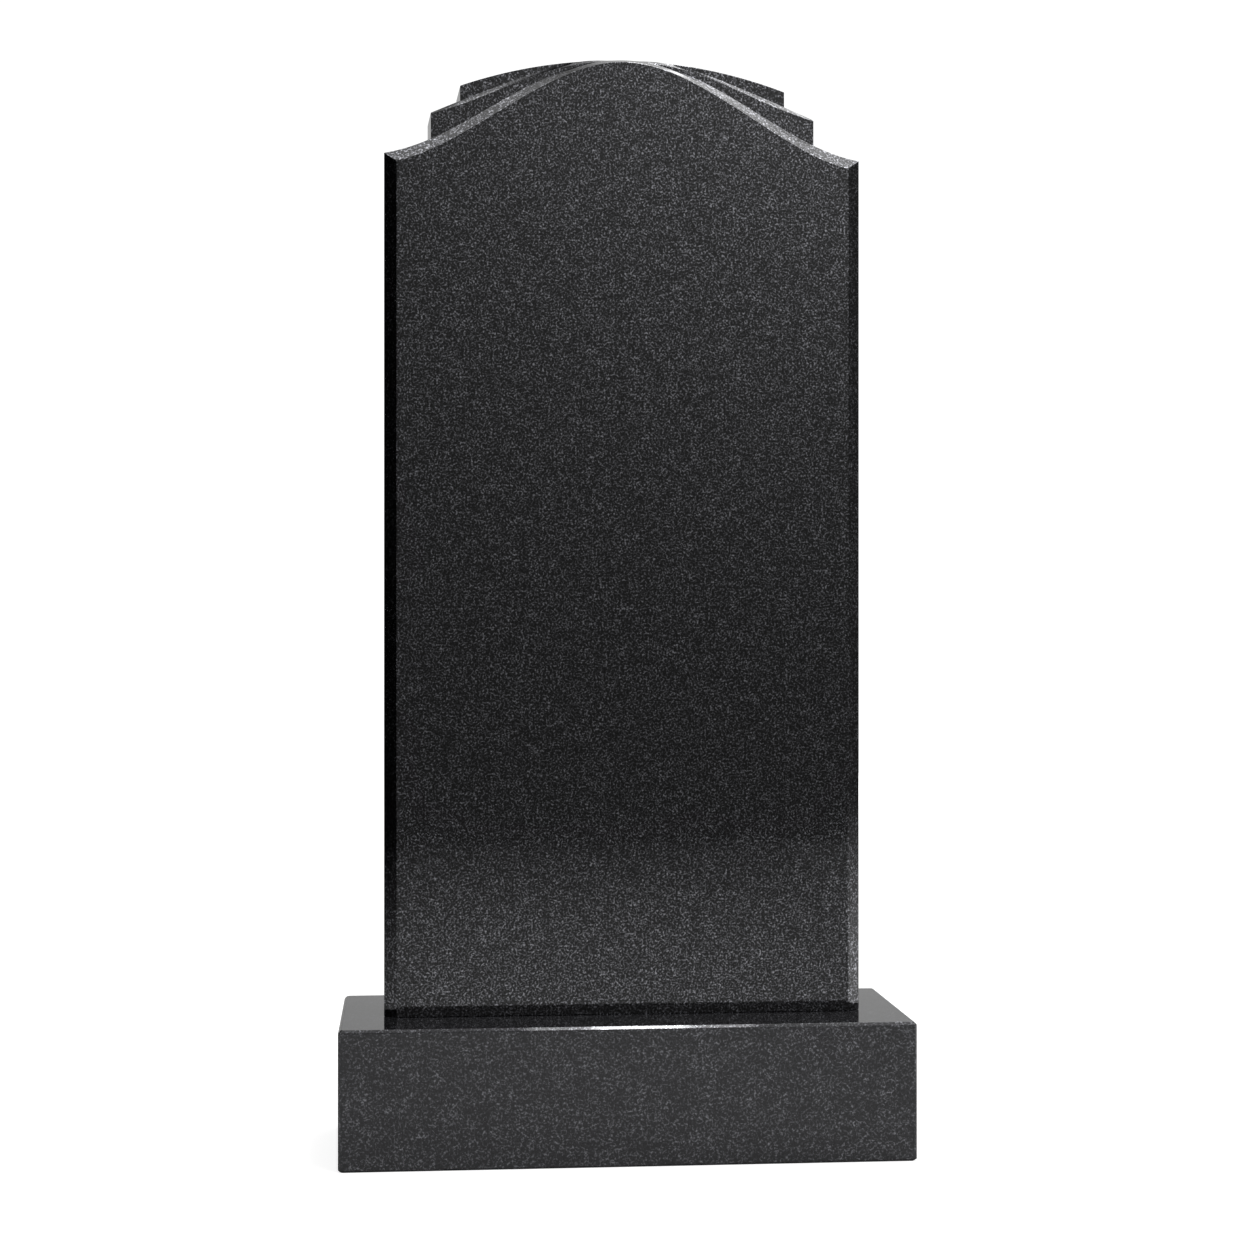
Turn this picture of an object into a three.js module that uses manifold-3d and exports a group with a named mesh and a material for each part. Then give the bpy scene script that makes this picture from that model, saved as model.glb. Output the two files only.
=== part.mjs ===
// Headstone: an upright stele with a stepped wave crest, standing on a plinth, both of polished black granite.
// Millimetres, +Z up. The origin is the centre of the plinth's underside, and the stele faces -Y.

import * as THREE from 'three';
import { mergeVertices } from 'three/addons/utils/BufferGeometryUtils.js';
import Module from 'manifold-3d';

// Stele: the slab
const STELE_WIDTH = 500;
const STELE_HEIGHT = 1000;
const STELE_THICKNESS = 80;

// Plinth
const PLINTH_WIDTH = 590;
const PLINTH_DEPTH = 225;
const PLINTH_HEIGHT = 143;
const PLINTH_TOP_ARRIS = 3;
const PLINTH_FOOT_ARRIS = 2.5;
const PLINTH_CORNER_ARRIS = 2;

// Bedding joint between the two stones
const BEDDING_GAP = 0.3;

// Crest: how far each tier's face lies behind the face of the one below it
const TIER_1_SETBACK = 10;
const TIER_2_SETBACK = 5.5;

// Crest: width of the chamfer down the sides, and distance of the upper tiers' ends from the stele's side. The
// splay is how far these ends widen towards the back, for each millimetre of depth.
const SIDE_CHAMFER = 13;
const TIER_2_INSET = 48.5;
const TIER_3_INSET = 79;
const TIER_END_SPLAY = 0.045;

// Crest: radius of the top tier's arc
const CREST_RADIUS = 506;

// Crest: each lower tier's swept line falls from the apex to its ends. The drops are measured down from the top
// of the stele, and the reaches say how long the line stays close to its tangent at the apex and at the end, as
// shares of its half width.
const TIER_1_FACE_LINE = { apexDrop: 5.1, endDrop: 112.4, apexReach: 0.337, endReach: 0.31, endSlope: 0.219 };
const TIER_1_BACK_LINE = { apexDrop: 1, endDrop: 102.4, apexReach: 0.385, endReach: 0.346, endSlope: 0.174 };
const TIER_2_FACE_LINE = { apexDrop: 1.8, endDrop: 60.6, apexReach: 0.433, endReach: 0.381, endSlope: 0.27 };
const TIER_2_BACK_LINE = { apexDrop: 0.5, endDrop: 58.6, apexReach: 0.227, endReach: 0.75, endSlope: 0.428 };

// Facets along half of a crest line
const LINE_STEPS = 28;

const wasm = await Module();
wasm.setup();

// Closed solid through outlines with matching points, each at its own height along Z, listed from the lowest up
function loft(sections) {
  const count = sections[0].outline.length;
  const positions = sections.flatMap(({ outline, z }) => outline.flatMap((point) => [point.x, point.y, z]));
  const lastRing = (sections.length - 1) * count;
  const indices = [];
  for (const [a, b, c] of THREE.ShapeUtils.triangulateShape(sections[0].outline, [])) {
    indices.push(c, b, a);
  }
  for (let ring = 0; ring < lastRing; ring += count) {
    for (let i = 0; i < count; i++) {
      const next = (i + 1) % count;
      indices.push(ring + i, ring + next, ring + count + next);
      indices.push(ring + i, ring + count + next, ring + count + i);
    }
  }
  for (const [a, b, c] of THREE.ShapeUtils.triangulateShape(sections.at(-1).outline, [])) {
    indices.push(lastRing + a, lastRing + b, lastRing + c);
  }
  const geometry = new THREE.BufferGeometry();
  geometry.setAttribute('position', new THREE.Float32BufferAttribute(positions, 3));
  geometry.setIndex(indices);
  return geometry;
}

function toSolid(geometry) {
  const welded = mergeVertices(geometry);
  return new wasm.Manifold(new wasm.Mesh({
    numProp: 3,
    vertProperties: new Float32Array(welded.attributes.position.array),
    triVerts: new Uint32Array(welded.index.array),
  }));
}

function toGeometry(solid) {
  const mesh = solid.getMesh();
  const geometry = new THREE.BufferGeometry();
  geometry.setAttribute('position', new THREE.BufferAttribute(mesh.vertProperties, 3));
  geometry.setIndex(new THREE.BufferAttribute(mesh.triVerts, 1));
  geometry.computeVertexNormals();
  return geometry;
}

// Right half of a swept crest line, from its end at x = halfWidth in to the apex at x = 0
function sweptLine(line, halfWidth) {
  const apexY = STELE_HEIGHT - line.apexDrop;
  const endY = STELE_HEIGHT - line.endDrop;
  const endReach = line.endReach * halfWidth;
  const curve = new THREE.CubicBezierCurve(
    new THREE.Vector2(halfWidth, endY),
    new THREE.Vector2(halfWidth - endReach, endY + line.endSlope * endReach),
    new THREE.Vector2(line.apexReach * halfWidth, apexY),
    new THREE.Vector2(0, apexY),
  );
  return curve.getPoints(LINE_STEPS);
}

// Right half of the top tier's arc, from its end at x = halfWidth in to the apex at x = 0
function arcLine(halfWidth) {
  const endAngle = Math.asin(halfWidth / CREST_RADIUS);
  return Array.from({ length: LINE_STEPS + 1 }, (_, i) => {
    const angle = endAngle * (1 - i / LINE_STEPS);
    return new THREE.Vector2(
      CREST_RADIUS * Math.sin(angle),
      STELE_HEIGHT - CREST_RADIUS * (1 - Math.cos(angle)),
    );
  });
}

// Front elevation of a tier: straight ends rising from footY to its crest line, counterclockwise from front
function elevation(rightHalf, footY) {
  const halfWidth = rightHalf[0].x;
  const leftHalf = rightHalf.slice(0, -1).reverse().map((point) => new THREE.Vector2(-point.x, point.y));
  return [
    new THREE.Vector2(-halfWidth, footY),
    new THREE.Vector2(halfWidth, footY),
    ...rightHalf,
    ...leftHalf,
  ];
}

// One tier of the slab, z towards the viewer: a solid through its elevations, from the slab's back forwards
function tier(footY, lines) {
  return toSolid(loft(lines.map(({ line, z }) => ({ outline: elevation(line, footY), z }))));
}

function steleGeometry() {
  const halfWidth = STELE_WIDTH / 2;
  const backZ = -STELE_THICKNESS / 2;
  const face1Z = STELE_THICKNESS / 2;
  const face2Z = face1Z - TIER_1_SETBACK;
  const face3Z = face2Z - TIER_2_SETBACK;
  const tier2HalfWidth = (z) => halfWidth - TIER_2_INSET + TIER_END_SPLAY * (face2Z - z);
  const tier3HalfWidth = (z) => halfWidth - TIER_3_INSET + TIER_END_SPLAY * (face3Z - z);

  // The upper tiers grow out of the slab, well below its shoulders
  const upperFootY = STELE_HEIGHT - 2 * TIER_1_BACK_LINE.endDrop;
  const tier1 = tier(0, [
    { line: sweptLine(TIER_1_BACK_LINE, halfWidth), z: backZ },
    { line: sweptLine(TIER_1_BACK_LINE, halfWidth), z: face2Z },
    { line: sweptLine(TIER_1_FACE_LINE, halfWidth - SIDE_CHAMFER), z: face1Z },
  ]);
  const tier2 = tier(upperFootY, [
    { line: sweptLine(TIER_2_BACK_LINE, tier2HalfWidth(backZ)), z: backZ },
    { line: sweptLine(TIER_2_BACK_LINE, tier2HalfWidth(face3Z)), z: face3Z },
    { line: sweptLine(TIER_2_FACE_LINE, tier2HalfWidth(face2Z)), z: face2Z },
  ]);
  const tier3 = tier(upperFootY, [
    { line: arcLine(tier3HalfWidth(backZ)), z: backZ },
    { line: arcLine(tier3HalfWidth(face3Z)), z: face3Z },
  ]);
  return toGeometry(tier1.add(tier2).add(tier3));
}

// Rectangle with its corners cut off, counterclockwise from above
function cutRectangle(width, depth, cut) {
  const x = width / 2;
  const y = depth / 2;
  return [
    [-x, cut - y], [cut - x, -y], [x - cut, -y], [x, cut - y],
    [x, y - cut], [x - cut, y], [cut - x, y], [-x, y - cut],
  ].map(([px, py]) => new THREE.Vector2(px, py));
}

function plinthGeometry() {
  const ring = (inset, z) => ({
    outline: cutRectangle(PLINTH_WIDTH - 2 * inset, PLINTH_DEPTH - 2 * inset, PLINTH_CORNER_ARRIS),
    z,
  });
  return toGeometry(toSolid(loft([
    ring(PLINTH_FOOT_ARRIS, 0),
    ring(0, PLINTH_FOOT_ARRIS),
    ring(0, PLINTH_HEIGHT - PLINTH_TOP_ARRIS),
    ring(PLINTH_TOP_ARRIS, PLINTH_HEIGHT),
  ])));
}

function polishedGranite(color) {
  return new THREE.MeshStandardMaterial({ color, roughness: 0.12, metalness: 0, flatShading: true });
}

function namedMesh(name, geometry, material) {
  const mesh = new THREE.Mesh(geometry, material);
  mesh.name = name;
  return mesh;
}

const headstone = new THREE.Group();
headstone.name = 'headstone';

const plinth = namedMesh('plinth', plinthGeometry(), polishedGranite(0x1c1c1e));
headstone.add(plinth);

// The slab is drawn in front elevation, so it is stood up on the plinth with its face towards -Y
const stele = namedMesh('stele', steleGeometry(), polishedGranite(0x18181a));
stele.rotation.x = Math.PI / 2;
stele.position.z = PLINTH_HEIGHT + BEDDING_GAP;
headstone.add(stele);

export default headstone;
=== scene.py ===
"""Looks of a headstone: a stele with a stepped wave crest on a plinth, both of polished black granite.

Metres, +Z up. The origin is the centre of the plinth's underside, and the stele faces -Y. The overall sizes
are those of the frame, and the sizes of the carving are fields of the classes below.
"""

import logging
import math
from dataclasses import dataclass, field
from enum import Enum
from typing import Sequence

import bmesh
import bpy
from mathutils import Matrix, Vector


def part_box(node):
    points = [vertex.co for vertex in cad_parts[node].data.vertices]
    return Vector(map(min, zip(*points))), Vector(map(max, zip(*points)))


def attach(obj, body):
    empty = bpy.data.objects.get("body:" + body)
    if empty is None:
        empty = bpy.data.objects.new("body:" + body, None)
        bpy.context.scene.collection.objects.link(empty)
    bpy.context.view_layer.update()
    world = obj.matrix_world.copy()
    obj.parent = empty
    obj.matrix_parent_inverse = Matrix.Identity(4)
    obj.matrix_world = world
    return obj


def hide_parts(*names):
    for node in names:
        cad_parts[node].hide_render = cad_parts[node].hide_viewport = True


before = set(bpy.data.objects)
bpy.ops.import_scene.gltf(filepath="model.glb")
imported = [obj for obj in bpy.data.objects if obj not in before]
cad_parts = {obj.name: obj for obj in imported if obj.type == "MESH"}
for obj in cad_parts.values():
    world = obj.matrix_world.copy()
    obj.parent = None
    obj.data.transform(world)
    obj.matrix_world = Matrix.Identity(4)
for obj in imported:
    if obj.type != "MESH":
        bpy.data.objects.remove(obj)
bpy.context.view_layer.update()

log = logging.getLogger("headstone")

MM = 0.001


class Slot(Enum):
    """Names of the material slots, which the two finishes below also carry."""

    PLINTH = "plinth_granite"
    STELE = "stele_granite"


def mesh_object(name: str, bm: bmesh.types.BMesh) -> bpy.types.Object:
    """Turns a bmesh into an object of the scene and frees the bmesh.

    Args:
        name: Name of the new object and its mesh.
        bm: The mesh, in the frame's metres.

    Returns:
        The new object, at the origin.
    """
    mesh = bpy.data.meshes.new(name)
    bm.to_mesh(mesh)
    bm.free()
    piece = bpy.data.objects.new(name, mesh)
    bpy.context.scene.collection.objects.link(piece)
    return piece


def quad_object(name: str, corners: Sequence[tuple[float, float, float]]) -> bpy.types.Object:
    """Makes a flat piece with four corners.

    Args:
        name: Name of the piece.
        corners: Its corners, in metres.

    Returns:
        The piece's object.
    """
    bm = bmesh.new()
    bm.faces.new([bm.verts.new(corner) for corner in corners])
    return mesh_object(name, bm)


def apply_modifiers(piece: bpy.types.Object) -> None:
    """Bakes the modifiers of a piece into its mesh and clears them.

    Args:
        piece: The piece.
    """
    depsgraph = bpy.context.evaluated_depsgraph_get()
    finished = bpy.data.meshes.new_from_object(piece.evaluated_get(depsgraph))
    piece.modifiers.clear()
    raw = piece.data
    piece.data = finished
    bpy.data.meshes.remove(raw)
    finished.name = piece.name


def polish_normals(piece: bpy.types.Object, crease: float) -> None:
    """Shades a stone as ground and polished: its flats stay flat and its eased arrises run smoothly.

    Args:
        piece: The stone.
        crease: Angle between faces above which an edge stays sharp, in radians.
    """
    for polygon in piece.data.polygons:
        polygon.use_smooth = True
    piece.data.set_sharp_from_angle(angle=crease)
    weighting = piece.modifiers.new("flats", "WEIGHTED_NORMAL")
    weighting.mode = "FACE_AREA"
    weighting.weight = 100
    weighting.keep_sharp = True
    apply_modifiers(piece)


def eased(before: Vector, corner: Vector, after: Vector, ease: float, steps: int) -> list[Vector]:
    """Rounds one corner of a path.

    Args:
        before: The path's point before the corner.
        corner: The corner.
        after: The path's point after the corner.
        ease: Distance from the corner at which the rounding starts and ends.
        steps: Number of stretches along the rounding.

    Returns:
        Points along the rounding, from the side of `before` to the side of `after`.
    """
    start = corner + (before - corner).normalized() * ease
    end = corner + (after - corner).normalized() * ease
    points = []
    for step in range(steps + 1):
        t = step / steps
        points.append(start * (1 - t) ** 2 + corner * (2 * t * (1 - t)) + end * t ** 2)
    return points


def inward(outline: Sequence[Vector], i: int) -> Vector:
    """Gives the direction into a counterclockwise outline (x, 0, z) at one of its points.

    Args:
        outline: The outline's points.
        i: Number of the point.

    Returns:
        A unit vector halfway between the inward normals of the two sides that meet there.
    """
    before, here, after = outline[i - 1], outline[i], outline[(i + 1) % len(outline)]
    along = (here - before).normalized() + (after - here).normalized()
    return Vector((-along.z, 0.0, along.x)).normalized()


def skin(bm: bmesh.types.BMesh, rings: Sequence[Sequence[Vector]]) -> None:
    """Closes a solid over rings of matching points, capped flat at both ends.

    Args:
        bm: The mesh that receives the faces.
        rings: Rings from one end of the solid to the other, each with the same number of points.
    """
    layers = [[bm.verts.new(point) for point in ring] for ring in rings]
    count = len(layers[0])
    for lower, upper in zip(layers, layers[1:]):
        for i in range(count):
            j = (i + 1) % count
            bm.faces.new((lower[i], lower[j], upper[j], upper[i]))
    bm.faces.new(reversed(layers[0]))
    bm.faces.new(layers[-1])
    bmesh.ops.recalc_face_normals(bm, faces=bm.faces)


@dataclass(frozen=True)
class SweptLine:
    """A crest line that falls in a wave from the apex to its ends.

    Attributes:
        apex_drop: Drop of the apex from the top of the stele.
        end_drop: Drop of the ends from the top of the stele.
        apex_reach: How long the line stays close to its tangent at the apex, as a share of its half width.
        end_reach: How long it stays close to its tangent at the ends, as a share of its half width.
        end_slope: Slope of the line at its ends.
    """

    apex_drop: float
    end_drop: float
    apex_reach: float
    end_reach: float
    end_slope: float

    def right_half(self, half_width: float, top: float, steps: int) -> list[Vector]:
        """Draws the right half of the line.

        Args:
            half_width: Distance of the line's end from the middle of the stele.
            top: Height of the top of the stele.
            steps: Number of stretches along the half line.

        Returns:
            Points (x, 0, z) from the end in to the apex.
        """
        reach = self.end_reach * half_width
        apex_z = top - self.apex_drop
        end_z = top - self.end_drop
        controls = (
            (half_width, end_z),
            (half_width - reach, end_z + self.end_slope * reach),
            (self.apex_reach * half_width, apex_z),
            (0.0, apex_z),
        )
        points = []
        for step in range(steps + 1):
            t = step / steps
            weights = ((1 - t) ** 3, 3 * t * (1 - t) ** 2, 3 * t ** 2 * (1 - t), t ** 3)
            x = sum(w * c[0] for w, c in zip(weights, controls))
            z = sum(w * c[1] for w, c in zip(weights, controls))
            points.append(Vector((x, 0.0, z)))
        return points


@dataclass(frozen=True)
class ArcLine:
    """A crest line that is one arc over the top of the stele.

    Attributes:
        radius: Radius of the arc.
    """

    radius: float

    def right_half(self, half_width: float, top: float, steps: int) -> list[Vector]:
        """Draws the right half of the arc.

        Args:
            half_width: Distance of the arc's end from the middle of the stele.
            top: Height of the top of the stele.
            steps: Number of stretches along the half arc.

        Returns:
            Points (x, 0, z) from the end in to the apex.
        """
        end_angle = math.asin(half_width / self.radius)
        angles = [end_angle * (1 - step / steps) for step in range(steps + 1)]
        return [
            Vector((self.radius * math.sin(a), 0.0, top - self.radius * (1 - math.cos(a))))
            for a in angles
        ]


CrestLine = SweptLine | ArcLine


@dataclass(frozen=True)
class Tier:
    """One tier of the stele: a slab from the stone's back to its own face, chamfered in front.

    Attributes:
        face_setback: Depth of the tier's face behind the stele's front.
        chamfer: Depth of the front chamfer.
        half_width: Half width of the tier at the back of its chamfer.
        side_chamfer: Width that the chamfer takes off each end of the face.
        end_splay: How far each end widens towards the back, for each unit of depth.
        back_line: Crest line behind the chamfer.
        face_line: Crest line of the face.
    """

    face_setback: float
    chamfer: float
    half_width: float
    side_chamfer: float
    end_splay: float
    back_line: CrestLine
    face_line: CrestLine

    def outline(self, line: CrestLine, half_width: float, foot: float, stele: "Stele") -> list[Vector]:
        """Draws a front elevation of the tier with eased corners.

        Args:
            line: The crest line along its top.
            half_width: Half width of the elevation.
            foot: Height of its foot.
            stele: The stone that the tier belongs to.

        Returns:
            Points (x, 0, z), counterclockwise as seen from the front.
        """
        ease, steps = stele.arris, stele.ease_steps
        right = line.right_half(half_width, stele.top, stele.line_steps)
        corner = Vector((half_width, 0.0, foot))
        half = eased(Vector((0.0, 0.0, foot)), corner, right[0], ease, steps)
        half += eased(corner, right[0], right[1], ease, steps)
        half += right[1:]
        left = [Vector((-p.x, 0.0, p.z)) for p in reversed(half[:-1])]
        return half + left

    def build(self, stele: "Stele", foot: float) -> bpy.types.Object:
        """Builds the tier as a closed solid.

        Args:
            stele: The stone that the tier belongs to.
            foot: Height of the tier's foot.

        Returns:
            The tier's object, in place.
        """
        face_y = stele.front + self.face_setback
        chamfer_y = face_y + self.chamfer
        back_half = self.half_width + self.end_splay * (stele.back - chamfer_y)
        back = self.outline(self.back_line, back_half, foot, stele)
        ridge = self.outline(self.back_line, self.half_width, foot, stele)
        face = self.outline(self.face_line, self.half_width - self.side_chamfer, foot, stele)
        ease, steps = stele.arris, stele.ease_steps
        paths = []
        for i in range(len(face)):
            rear = Vector((back[i].x, stele.back, back[i].z))
            start = Vector((ridge[i].x, chamfer_y, ridge[i].z))
            edge = Vector((face[i].x, face_y, face[i].z))
            path = eased(rear + inward(back, i), rear, start, ease, steps)
            path += eased(rear, start, edge, ease, steps)
            path += eased(start, edge, edge + inward(face, i), ease, steps)
            paths.append(path)
        bm = bmesh.new()
        skin(bm, list(zip(*paths)))
        return mesh_object("tier", bm)


@dataclass(frozen=True)
class PolishedGranite:
    """Near-black granite, ground and polished: fine pale crystals in a dark ground, under a mirror polish.

    The polish is a clear coat. The crystals under it glint like flakes, so the stone is mostly metallic.

    Attributes:
        name: Name of the material.
        ground: Linear colour between the crystals.
        crystal: Linear colour of the brightest crystals.
        glint: Share of the stone's light that its crystals reflect as flakes.
        graze: How much of a flake's usual brightening at a grazing angle the crystals keep.
        crystal_gloss: Roughness of the stone under the polish.
        polish: Roughness of the polish.
        ior: Index of refraction of the polish.
        speck: Spacing of the specks, in metres.
        speck_window: Range of the specks' noise that runs from the dimmest speck to the brightest.
        speck_dim: Brightness of the dimmest speck.
        speck_shift: Offset of the specks' noise, in metres.
        contrast: How steeply the specks' brightness rises.
        thread: Spacing of the threads that the specks gather in, in metres.
        thread_width: How far the threads' noise may be off its contour line.
        thread_dim: Brightness that is left of the specks between the threads.
        patch: Spacing of the patches with more and fewer crystals, in metres.
        patch_window: Range of the patches' noise that runs from the dimmest patch to the brightest.
        patch_levels: Brightness of the dimmest and the brightest patch.
        patch_shift: Offset of the patches' noise, in metres.
    """

    name: str
    ground: tuple[float, float, float] = (0.0015, 0.0015, 0.0016)
    crystal: tuple[float, float, float] = (0.545, 0.550, 0.597)
    glint: float = 0.98
    graze: float = 1.0
    crystal_gloss: float = 0.08
    polish: float = 0.05
    ior: float = 1.5
    speck: float = 0.0020
    speck_window: tuple[float, float] = (0.20, 0.75)
    speck_dim: float = 0.10
    speck_shift: tuple[float, float, float] = (3.1, 7.7, 1.3)
    contrast: float = 2.3
    thread: float = 0.0037
    thread_width: float = 0.08
    thread_dim: float = 0.09
    patch: float = 0.0130
    patch_window: tuple[float, float] = (0.3, 0.7)
    patch_levels: tuple[float, float] = (0.65, 1.35)
    patch_shift: tuple[float, float, float] = (5.3, 2.9, 8.1)

    def material(self) -> bpy.types.Material:
        """Builds the node material.

        Returns:
            The new material.
        """
        material = bpy.data.materials.new(self.name)
        material.use_nodes = True
        tree = material.node_tree
        shader = tree.nodes["Principled BSDF"]
        shader.inputs["Metallic"].default_value = self.glint
        shader.inputs["Roughness"].default_value = self.crystal_gloss
        shader.inputs["Specular IOR Level"].default_value = 0.0
        shader.inputs["Specular Tint"].default_value = (self.graze, self.graze, self.graze, 1.0)
        shader.inputs["Coat Weight"].default_value = 1.0
        shader.inputs["Coat Roughness"].default_value = self.polish
        shader.inputs["Coat IOR"].default_value = self.ior
        place = tree.nodes.new("ShaderNodeTexCoord").outputs["Object"]
        colour = mix_colours(tree, self.crystals(tree, place), self.ground, self.crystal)
        tree.links.new(colour, shader.inputs["Base Color"])
        return material

    def crystals(self, tree: bpy.types.NodeTree, place: bpy.types.NodeSocket) -> bpy.types.NodeSocket:
        """Draws the crystals: specks that gather in short threads, along the contour lines of a noise.

        Args:
            tree: The material's nodes.
            place: Position in the stone, in metres.

        Returns:
            Brightness of the crystal at each point, from 0 to a little over 1, which the mix then clamps.
        """
        specks = noise(tree, place, scale=1.0 / self.speck, detail=0.0, shift=self.speck_shift)
        speck = map_range(tree, specks, self.speck_window, (self.speck_dim, 1.0))
        waves = noise(tree, place, scale=1.0 / self.thread, detail=1.0)
        away = maths(tree, "ABSOLUTE", maths(tree, "SUBTRACT", waves, 0.5))
        thread = map_range(tree, away, (0.0, self.thread_width), (1.0, self.thread_dim))
        patches = noise(tree, place, scale=1.0 / self.patch, detail=1.0, shift=self.patch_shift)
        patch = map_range(tree, patches, self.patch_window, self.patch_levels)
        sharp = maths(tree, "POWER", speck, self.contrast)
        return maths(tree, "MULTIPLY", maths(tree, "MULTIPLY", sharp, thread), patch)


def maths(tree: bpy.types.NodeTree, operation: str, first: bpy.types.NodeSocket,
          second: bpy.types.NodeSocket | float | None = None) -> bpy.types.NodeSocket:
    """Adds a math node.

    Args:
        tree: The nodes that it joins.
        operation: Name of the operation.
        first: First operand.
        second: Second operand, as a socket or a number, where there is one.

    Returns:
        The result's socket.
    """
    node = tree.nodes.new("ShaderNodeMath")
    node.operation = operation
    tree.links.new(first, node.inputs[0])
    if isinstance(second, bpy.types.NodeSocket):
        tree.links.new(second, node.inputs[1])
    elif second is not None:
        node.inputs[1].default_value = second
    return node.outputs["Value"]


def map_range(tree: bpy.types.NodeTree, value: bpy.types.NodeSocket, source: tuple[float, float],
              target: tuple[float, float]) -> bpy.types.NodeSocket:
    """Adds a map range node that clamps.

    Args:
        tree: The nodes that it joins.
        value: Value to map.
        source: Range that the value comes from.
        target: Range that it is mapped to.

    Returns:
        The result's socket.
    """
    node = tree.nodes.new("ShaderNodeMapRange")
    tree.links.new(value, node.inputs["Value"])
    node.inputs["From Min"].default_value, node.inputs["From Max"].default_value = source
    node.inputs["To Min"].default_value, node.inputs["To Max"].default_value = target
    return node.outputs["Result"]


def noise(tree: bpy.types.NodeTree, place: bpy.types.NodeSocket, scale: float, detail: float,
          shift: tuple[float, float, float] = (0.0, 0.0, 0.0)) -> bpy.types.NodeSocket:
    """Adds a noise texture.

    Args:
        tree: The nodes that it joins.
        place: Position that it is read at, in metres.
        scale: Waves of the noise for each metre.
        detail: Octaves above the first.
        shift: Offset of the position, in metres, so that two noises differ.

    Returns:
        The noise's value, about 0.5 on average.
    """
    moved = tree.nodes.new("ShaderNodeVectorMath")
    moved.operation = "ADD"
    tree.links.new(place, moved.inputs[0])
    moved.inputs[1].default_value = shift
    node = tree.nodes.new("ShaderNodeTexNoise")
    tree.links.new(moved.outputs["Vector"], node.inputs["Vector"])
    node.inputs["Scale"].default_value = scale
    node.inputs["Detail"].default_value = detail
    return node.outputs["Fac"]


def mix_colours(tree: bpy.types.NodeTree, factor: bpy.types.NodeSocket, low: tuple[float, float, float],
                high: tuple[float, float, float]) -> bpy.types.NodeSocket:
    """Adds a mix of two colours.

    Args:
        tree: The nodes that it joins.
        factor: Share of the second colour.
        low: First linear colour.
        high: Second linear colour.

    Returns:
        The mixed colour's socket.
    """
    node = tree.nodes.new("ShaderNodeMix")
    node.data_type = "RGBA"
    colours = [socket for socket in node.inputs if socket.type == "RGBA"]
    colours[0].default_value = (*low, 1.0)
    colours[1].default_value = (*high, 1.0)
    tree.links.new(factor, node.inputs[0])
    return next(socket for socket in node.outputs if socket.type == "RGBA")


def coordinates(tree: bpy.types.NodeTree) -> bpy.types.bpy_prop_collection:
    """Splits the position on an object, in metres, into its X, Y and Z.

    Args:
        tree: The nodes that read it.

    Returns:
        The sockets X, Y and Z.
    """
    split = tree.nodes.new("ShaderNodeSeparateXYZ")
    tree.links.new(tree.nodes.new("ShaderNodeTexCoord").outputs["Object"], split.inputs["Vector"])
    return split.outputs


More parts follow.
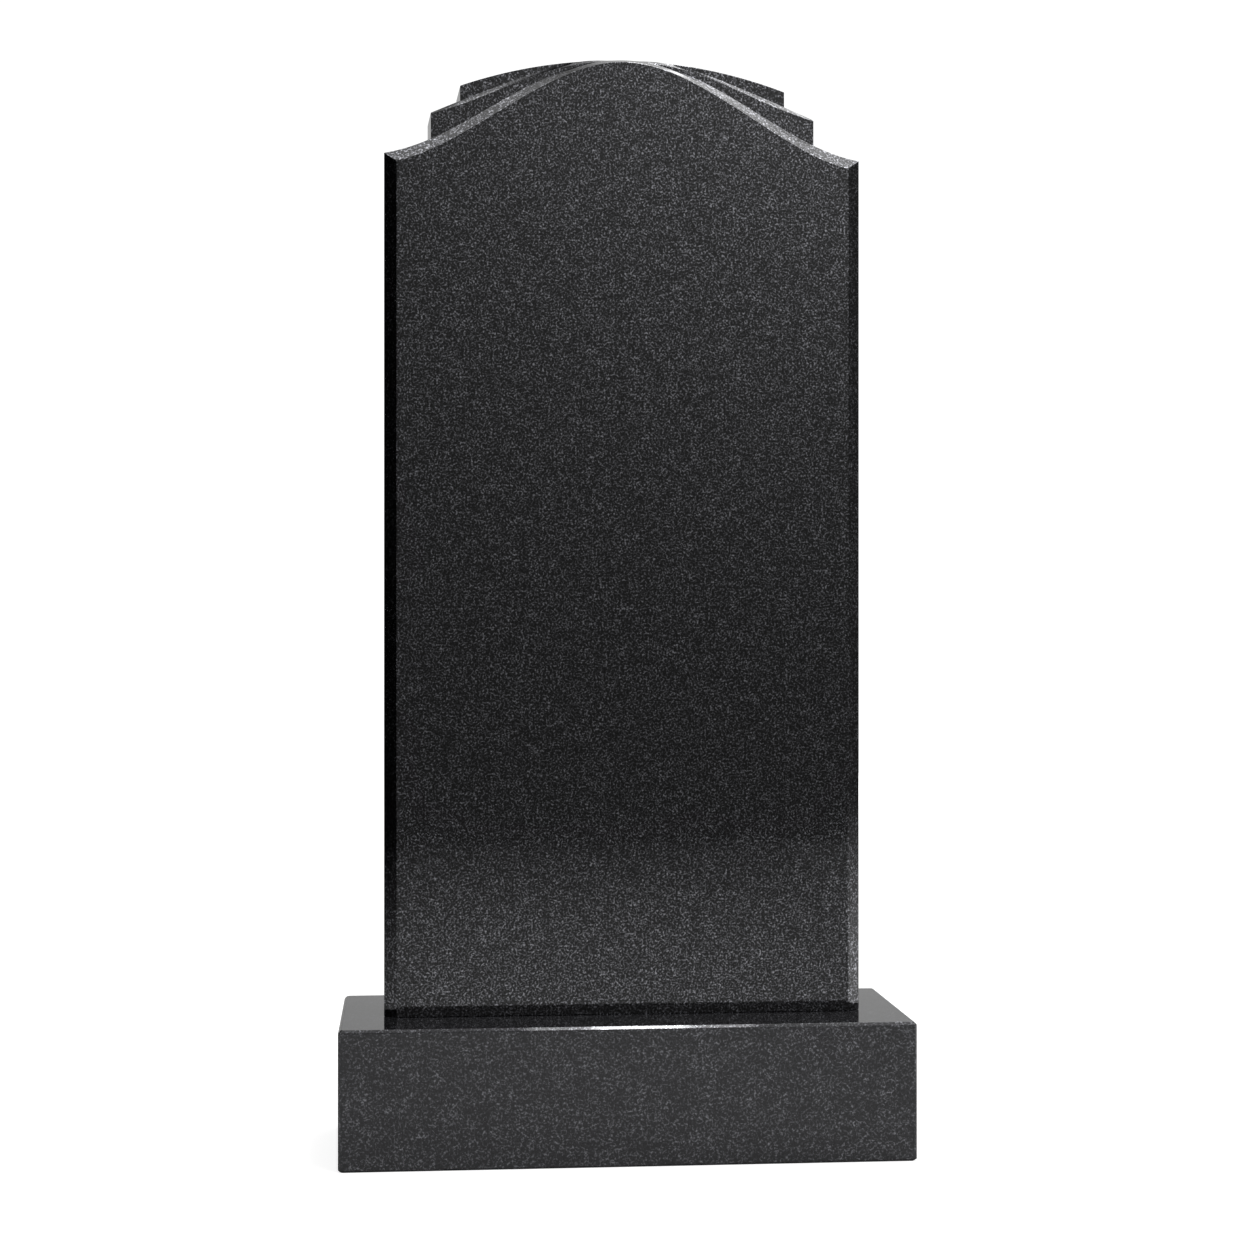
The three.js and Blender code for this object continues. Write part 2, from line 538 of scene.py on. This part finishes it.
@dataclass
class Stele:
    """The upright slab, whose crest is carved in three tiers, each set back behind the one below.

    Sizes are in metres. The tiers are numbered from the front one up.

    Attributes:
        low: Lowest corner of the stele's box in the frame.
        high: Highest corner of that box.
        setback_2: Depth of the second tier's face behind the first one's.
        setback_3: Depth of the third tier's face behind the second one's.
        inset_2: Distance of the second tier's face from the stele's sides.
        inset_3: Distance of the third tier's face from the stele's sides.
        side_chamfer: Width of the chamfer down the stele's sides.
        end_splay: How far the upper tiers' ends widen towards the back, for each unit of depth.
        back_line_1: Crest line of the first tier behind its chamfer.
        face_line_1: Crest line of its face.
        back_line_2: Crest line of the second tier behind its chamfer.
        face_line_2: Crest line of its face.
        crest_radius: Radius of the third tier's arc.
        rim_3: Depth of the third tier's rim, which has no chamfer.
        arris: Distance from an arris at which its rounding starts.
        ease_steps: Number of stretches across a rounded arris.
        line_steps: Number of stretches along half of a crest line.
        crease: Angle between faces above which an edge stays sharp, in radians.
        tiers: The three tiers, worked out from the sizes above.
    """

    low: Vector
    high: Vector
    setback_2: float = 10 * MM
    setback_3: float = 5.5 * MM
    inset_2: float = 48.5 * MM
    inset_3: float = 79 * MM
    side_chamfer: float = 13 * MM
    end_splay: float = 0.045
    back_line_1: SweptLine = SweptLine(1 * MM, 102.4 * MM, 0.385, 0.346, 0.174)
    face_line_1: SweptLine = SweptLine(5.1 * MM, 112.4 * MM, 0.337, 0.31, 0.219)
    back_line_2: SweptLine = SweptLine(0.5 * MM, 58.6 * MM, 0.227, 0.75, 0.428)
    face_line_2: SweptLine = SweptLine(1.8 * MM, 60.6 * MM, 0.433, 0.381, 0.27)
    crest_radius: float = 506 * MM
    rim_3: float = 1 * MM
    arris: float = 0.7 * MM
    ease_steps: int = 3
    line_steps: int = 72
    crease: float = math.radians(40.0)
    tiers: tuple[Tier, ...] = field(init=False)

    def __post_init__(self) -> None:
        """Works out the three tiers, from the front one up."""
        half = (self.high.x - self.low.x) / 2
        face_3 = self.setback_2 + self.setback_3
        arc = ArcLine(self.crest_radius)
        self.tiers = (
            Tier(0.0, self.setback_2, half, self.side_chamfer, 0.0, self.back_line_1, self.face_line_1),
            self.upper_tier(self.setback_2, self.setback_3, half - self.inset_2,
                            self.back_line_2, self.face_line_2),
            self.upper_tier(face_3, self.rim_3, half - self.inset_3, arc, arc),
        )

    def upper_tier(self, setback: float, chamfer: float, half_width: float, back_line: CrestLine,
                   face_line: CrestLine) -> Tier:
        """Works out an upper tier, whose ends widen towards the back.

        Args:
            setback: Depth of the tier's face behind the stele's front.
            chamfer: Depth of its chamfer.
            half_width: Half width of its face.
            back_line: Crest line behind the chamfer.
            face_line: Crest line of the face.

        Returns:
            The tier.
        """
        widening = self.end_splay * chamfer
        return Tier(setback, chamfer, half_width + widening, widening, self.end_splay, back_line, face_line)

    @property
    def front(self) -> float:
        """Depth of the stele's front face."""
        return self.low.y

    @property
    def back(self) -> float:
        """Depth of the stele's back."""
        return self.high.y

    @property
    def foot(self) -> float:
        """Height of the stele's foot."""
        return self.low.z

    @property
    def top(self) -> float:
        """Height of the stele's top."""
        return self.high.z

    def build(self) -> bpy.types.Object:
        """Carves the stone: the three tiers are one solid, and the upper two grow out of the slab.

        Returns:
            The stele's object.
        """
        upper_foot = self.top - 2 * self.back_line_1.end_drop
        slab = self.tiers[0].build(self, self.foot)
        slab.name = "stele_stone"
        upper = [tier.build(self, upper_foot) for tier in self.tiers[1:]]
        for tier in upper:
            union = slab.modifiers.new("tier", "BOOLEAN")
            union.operation = "UNION"
            union.solver = "MANIFOLD"
            union.object = tier
        apply_modifiers(slab)
        for tier in upper:
            bpy.data.objects.remove(tier)
        polish_normals(slab, self.crease)
        return slab

    def dress(self, stone: bpy.types.Object, granite: PolishedGranite) -> None:
        """Gives the stone its finish and its place in the frame.

        Args:
            stone: The stele's object.
            granite: Its finish.
        """
        stone.data.materials.clear()
        stone.data.materials.append(granite.material())
        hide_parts("stele")
        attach(stone, "root")


@dataclass
class Plinth:
    """The block that the stele stands on. Sizes are in metres.

    Attributes:
        low: Lowest corner of the plinth's box in the frame.
        high: Highest corner of that box.
        top_arris: Height and depth that are cut off the top's edges.
        foot_arris: Height and depth that are cut off the foot's edges.
        corner_arris: Width that is cut off each side of the upright edges.
        ease: Distance from an edge at which its rounding starts.
        ease_steps: Number of stretches across a rounded edge.
        crease: Angle between faces above which an edge stays sharp, in radians.
    """

    low: Vector
    high: Vector
    top_arris: float = 3 * MM
    foot_arris: float = 2.5 * MM
    corner_arris: float = 2 * MM
    ease: float = 0.5 * MM
    ease_steps: int = 2
    crease: float = math.radians(40.0)

    def ring(self, inset: float, z: float) -> list[Vector]:
        """Draws the plinth's outline at one height, with its corners cut off.

        Args:
            inset: Distance of the outline inside the plinth's sides.
            z: Height of the outline.

        Returns:
            Points, counterclockwise from above.
        """
        x0, y0 = self.low.x + inset, self.low.y + inset
        x1, y1 = self.high.x - inset, self.high.y - inset
        cut = self.corner_arris
        corners = [
            Vector((x0, y0 + cut, z)),
            Vector((x0 + cut, y0, z)),
            Vector((x1 - cut, y0, z)),
            Vector((x1, y0 + cut, z)),
            Vector((x1, y1 - cut, z)),
            Vector((x1 - cut, y1, z)),
            Vector((x0 + cut, y1, z)),
            Vector((x0, y1 - cut, z)),
        ]
        points = []
        for i, corner in enumerate(corners):
            after = corners[(i + 1) % len(corners)]
            points += eased(corners[i - 1], corner, after, self.ease, self.ease_steps)
        return points

    def profile(self) -> list[tuple[float, float]]:
        """Draws the plinth's profile, from its foot to its top.

        Returns:
            Pairs of inset and height, with both arrises eased.
        """
        corners = [
            Vector((self.foot_arris, 0.0, self.low.z)),
            Vector((0.0, 0.0, self.low.z + self.foot_arris)),
            Vector((0.0, 0.0, self.high.z - self.top_arris)),
            Vector((self.top_arris, 0.0, self.high.z)),
        ]
        inside = Vector((1.0, 0.0, 0.0))
        path = [corners[0] + inside, *corners, corners[-1] + inside]
        pairs = []
        for before, corner, after in zip(path, path[1:], path[2:]):
            rounded = eased(before, corner, after, self.ease, self.ease_steps)
            pairs += [(point.x, point.z) for point in rounded]
        return pairs

    def build(self) -> bpy.types.Object:
        """Builds the block as one closed solid.

        Returns:
            The plinth's object.
        """
        bm = bmesh.new()
        skin(bm, [self.ring(inset, z) for inset, z in self.profile()])
        stone = mesh_object("plinth_stone", bm)
        polish_normals(stone, self.crease)
        return stone

    def dress(self, stone: bpy.types.Object, granite: PolishedGranite) -> None:
        """Gives the stone its finish and its place in the frame.

        Args:
            stone: The plinth's object.
            granite: Its finish.
        """
        stone.data.materials.append(granite.material())
        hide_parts("plinth")
        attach(stone, "root")


@dataclass(frozen=True)
class Glow:
    """A soft light far away: a round glow in the studio's surroundings.

    Attributes:
        towards: Direction of the glow, as seen from the object.
        strength: Radiance at its middle.
        spread: Angle at which it has fallen to about a third, in radians.
    """

    towards: tuple[float, float, float]
    strength: float
    spread: float

    def shine(self, tree: bpy.types.NodeTree, towards: bpy.types.NodeSocket) -> bpy.types.NodeSocket:
        """Adds the glow to the surroundings.

        Args:
            tree: The surroundings' nodes.
            towards: Direction that is looked in.

        Returns:
            The glow's radiance in that direction.
        """
        product = tree.nodes.new("ShaderNodeVectorMath")
        product.operation = "DOT_PRODUCT"
        tree.links.new(towards, product.inputs[0])
        product.inputs[1].default_value = Vector(self.towards).normalized()
        fall = maths(tree, "SUBTRACT", product.outputs["Value"], 1.0)
        scaled = maths(tree, "MULTIPLY", fall, 1.0 / (1.0 - math.cos(self.spread)))
        return maths(tree, "MULTIPLY", maths(tree, "EXPONENT", scaled), self.strength)


@dataclass(frozen=True)
class Softbox:
    """A rectangular light that hangs above the stone and shines down. Sizes are in metres.

    Attributes:
        width: Size along X.
        depth: Size along Y.
        power: Power in watts.
        place: Middle of the light.
    """

    width: float
    depth: float
    power: float
    place: tuple[float, float, float] = (0.2, -0.2, 2.1)

    def hang(self) -> bpy.types.Object:
        """Hangs the softbox.

        Returns:
            The light's object, which the camera doesn't see.
        """
        data = bpy.data.lights.new("softbox", "AREA")
        data.shape = "RECTANGLE"
        data.size = self.width
        data.size_y = self.depth
        data.energy = self.power
        lamp = bpy.data.objects.new("softbox", data)
        lamp.location = self.place
        lamp.visible_camera = False
        bpy.context.scene.collection.objects.link(lamp)
        return lamp


@dataclass
class Studio:
    """A pale floor in white surroundings, soft lights, and the camera at the photograph's angle.

    Attributes:
        focal_px: Focal length, in pixels of the photograph.
        frame_px: Width and height of the photograph, in pixels.
        horizon_px: Distance of the horizon below the photograph's top edge, in pixels.
        yaw: Turn of the camera about Z, in radians.
        camera_place: Place of the camera, in metres.
        sensor: Width of the camera's sensor, in millimetres.
        sight: How far the camera sees, in metres.
        backdrop: Brightness of the white background.
        floor_extent: Left, right, front and back ends of the floor, in metres.
        painted_floor_light: Pairs of a place along X, in metres, and the floor's grey there: painted light,
            darker to the left and paler to the right, where more light would fall.
        floor_roughness: Roughness of the floor.
        floor_lift: Brightness that the camera sees on the floor on top of its own.
        screen_y: Place of the screen along Y, in metres.
        screen_half_width: Half of the screen's width, in metres.
        screen_height: Height of the screen, in metres.
        screen_dark: Radiance of the screen at its foot.
        screen_pale: Radiance that it gains at a height of one metre, in its middle.
        screen_rise: Power of the height that this gain follows.
        screen_span: Stretch along X over which the gain grows, in metres.
        screen_across: Share of the gain at the two ends of that stretch.
        glows: The soft lights far away.
        softboxes: The softboxes above the stone.
    """

    focal_px: float = 2320.81
    frame_px: float = 1254.0
    horizon_px: float = 623.08
    yaw: float = -0.09042
    camera_place: tuple[float, float, float] = (-0.21632, -2.4552, 0.55187)
    sensor: float = 36.0
    sight: float = 200.0
    backdrop: float = 1.1
    floor_extent: tuple[float, float, float, float] = (-3.4, 4.8, -3.4, 6.0)
    # Painted light: the floor's grey is darker to the left and paler to the right, standing in for light
    # that falls unevenly.
    painted_floor_light: tuple[tuple[float, float], ...] = (
        (-3.4, 0.02), (-2.3, 0.10), (-1.4, 0.30), (-0.6, 0.43), (0.6, 0.43), (1.2, 1.00),
        (1.8, 1.00), (2.4, 0.68), (3.1, 0.43), (4.5, 0.18),
    )
    floor_roughness: float = 0.9
    floor_lift: float = 0.80
    screen_y: float = -3.4
    screen_half_width: float = 4.0
    screen_height: float = 2.6
    screen_dark: float = 0.168
    screen_pale: float = 0.073
    screen_rise: float = 2.2
    screen_span: tuple[float, float] = (-1.0, 1.5)
    screen_across: tuple[float, float] = (0.15, 2.28)
    glows: tuple[Glow, ...] = (
        Glow((-0.233, 0.111, 0.966), 1.90, math.radians(15.8)),
        Glow((0.329, 0.190, 0.925), 3.90, math.radians(17.0)),
        Glow((0.430, -0.400, 0.809), 11.0, math.radians(11.0)),
        Glow((-0.400, -0.350, 0.847), 3.60, math.radians(14.0)),
        Glow((0.090, 0.983, 0.160), 0.34, math.radians(17.6)),
        Glow((0.100, 0.990, -0.050), 0.28, math.radians(50.0)),
        Glow((0.670, -0.659, 0.342), 0.32, math.radians(50.0)),
        Glow((0.299, 0.641, 0.707), 1.00, math.radians(21.4)),
        Glow((0.292, 0.580, 0.761), 3.40, math.radians(4.7)),
    )
    softboxes: tuple[Softbox, ...] = (
        Softbox(0.18, 0.9, 8.0),
        Softbox(0.42, 0.9, 3.2),
    )

    def camera(self) -> bpy.types.Object:
        """Places the camera.

        Returns:
            The camera's object.
        """
        data = bpy.data.cameras.new("camera")
        data.sensor_fit = "HORIZONTAL"
        data.sensor_width = self.sensor
        data.lens = self.sensor * self.focal_px / self.frame_px
        data.shift_y = (self.horizon_px - self.frame_px / 2) / self.frame_px
        data.clip_end = self.sight
        camera = bpy.data.objects.new("camera", data)
        camera.location = self.camera_place
        camera.rotation_euler = (math.pi / 2, 0.0, self.yaw)
        bpy.context.scene.collection.objects.link(camera)
        bpy.context.scene.camera = camera
        return camera

    def floor(self) -> bpy.types.Object:
        """Lays the pale floor.

        Returns:
            The floor's object.
        """
        left, right, front, back = self.floor_extent
        corners = ((left, front, 0.0), (right, front, 0.0), (right, back, 0.0), (left, back, 0.0))
        floor = quad_object("floor", corners)
        material = bpy.data.materials.new("pale_floor")
        material.use_nodes = True
        tree = material.node_tree
        shader = tree.nodes["Principled BSDF"]
        # The floor's base colour carries painted light: darker to the left, paler to the right.
        tree.links.new(self.paint_floor_light(tree), shader.inputs["Base Color"])
        shader.inputs["Emission Color"].default_value = (1.0, 1.0, 1.0, 1.0)
        seen = tree.nodes.new("ShaderNodeLightPath").outputs["Is Camera Ray"]
        tree.links.new(maths(tree, "MULTIPLY", seen, self.floor_lift), shader.inputs["Emission Strength"])
        shader.inputs["Roughness"].default_value = self.floor_roughness
        shader.inputs["Specular IOR Level"].default_value = 0.0
        floor.data.materials.append(material)
        return floor

    def paint_floor_light(self, tree: bpy.types.NodeTree) -> bpy.types.NodeSocket:
        """Paints light and shade into the floor's grey from left to right, darker to the left and paler to
        the right as if more light fell there, for the stone's side chamfers to mirror.

        Args:
            tree: The floor's nodes.

        Returns:
            The floor's grey at each point, with the painted light in it.
        """
        left, right = self.painted_floor_light[0][0], self.painted_floor_light[-1][0]
        ramp = tree.nodes.new("ShaderNodeValToRGB")
        across = map_range(tree, coordinates(tree)["X"], (left, right), (0.0, 1.0))
        tree.links.new(across, ramp.inputs["Fac"])
        stops = ramp.color_ramp.elements
        while len(stops) < len(self.painted_floor_light):
            stops.new(0.5)
        for stop, (x, tone) in zip(stops, self.painted_floor_light):
            stop.position = (x - left) / (right - left)
            stop.color = (tone, tone, tone, 1.0)
        return ramp.outputs["Color"]

    def screen(self) -> bpy.types.Object:
        """Stands a screen in front of the stele, whose face mirrors it.

        It is dark at its foot and grows paler upwards and to the right.

        Returns:
            The screen's object, which the camera doesn't see.
        """
        y, half, top = self.screen_y, self.screen_half_width, self.screen_height
        corners = ((half, y, 0.0), (-half, y, 0.0), (-half, y, top), (half, y, top))
        screen = quad_object("screen", corners)
        screen.visible_camera = False
        material = bpy.data.materials.new("graded_screen")
        material.use_nodes = True
        tree = material.node_tree
        tree.nodes.clear()
        place = coordinates(tree)
        rise = maths(tree, "POWER", place["Z"], self.screen_rise)
        across = map_range(tree, place["X"], self.screen_span, self.screen_across)
        pale = maths(tree, "MULTIPLY", maths(tree, "MULTIPLY", rise, across), self.screen_pale)
        light = tree.nodes.new("ShaderNodeEmission")
        tree.links.new(maths(tree, "ADD", pale, self.screen_dark), light.inputs["Strength"])
        output = tree.nodes.new("ShaderNodeOutputMaterial")
        tree.links.new(light.outputs["Emission"], output.inputs["Surface"])
        screen.data.materials.append(material)
        return screen

    def surroundings(self) -> None:
        """Lights the studio with the soft glows, in front of a white background."""
        world = bpy.data.worlds.new("studio")
        bpy.context.scene.world = world
        world.use_nodes = True
        tree = world.node_tree
        tree.nodes.clear()
        towards = tree.nodes.new("ShaderNodeTexCoord").outputs["Generated"]
        total, *others = [glow.shine(tree, towards) for glow in self.glows]
        for other in others:
            total = maths(tree, "ADD", total, other)
        light = tree.nodes.new("ShaderNodeBackground")
        tree.links.new(total, light.inputs["Strength"])
        white = tree.nodes.new("ShaderNodeBackground")
        white.inputs["Color"].default_value = (1.0, 1.0, 1.0, 1.0)
        white.inputs["Strength"].default_value = self.backdrop
        seen = tree.nodes.new("ShaderNodeLightPath").outputs["Is Camera Ray"]
        mix = tree.nodes.new("ShaderNodeMixShader")
        tree.links.new(seen, mix.inputs[0])
        tree.links.new(light.outputs[0], mix.inputs[1])
        tree.links.new(white.outputs[0], mix.inputs[2])
        output = tree.nodes.new("ShaderNodeOutputWorld")
        tree.links.new(mix.outputs[0], output.inputs["Surface"])

    def set_up(self) -> None:
        """Builds the studio around the object."""
        self.camera()
        self.floor()
        self.screen()
        self.surroundings()
        for softbox in self.softboxes:
            softbox.hang()
        bpy.context.scene.view_settings.view_transform = "Standard"


def main() -> None:
    """Builds the studio and the two stones."""
    logging.basicConfig(level=logging.INFO, format="%(name)s: %(message)s")
    Studio().set_up()
    stele = Stele(*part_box("stele"))
    stele_stone = stele.build()
    stele.dress(stele_stone, PolishedGranite("stele_granite"))
    log.info("stele: %d faces", len(stele_stone.data.polygons))
    plinth = Plinth(*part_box("plinth"))
    plinth_stone = plinth.build()
    plinth.dress(plinth_stone, PolishedGranite(
        "plinth_granite", ground=(0.025, 0.025, 0.027), crystal=(0.300, 0.303, 0.329),
        glint=0.72, graze=0.25))
    log.info("plinth: %d faces", len(plinth_stone.data.polygons))


if __name__ == "__main__":
    main()
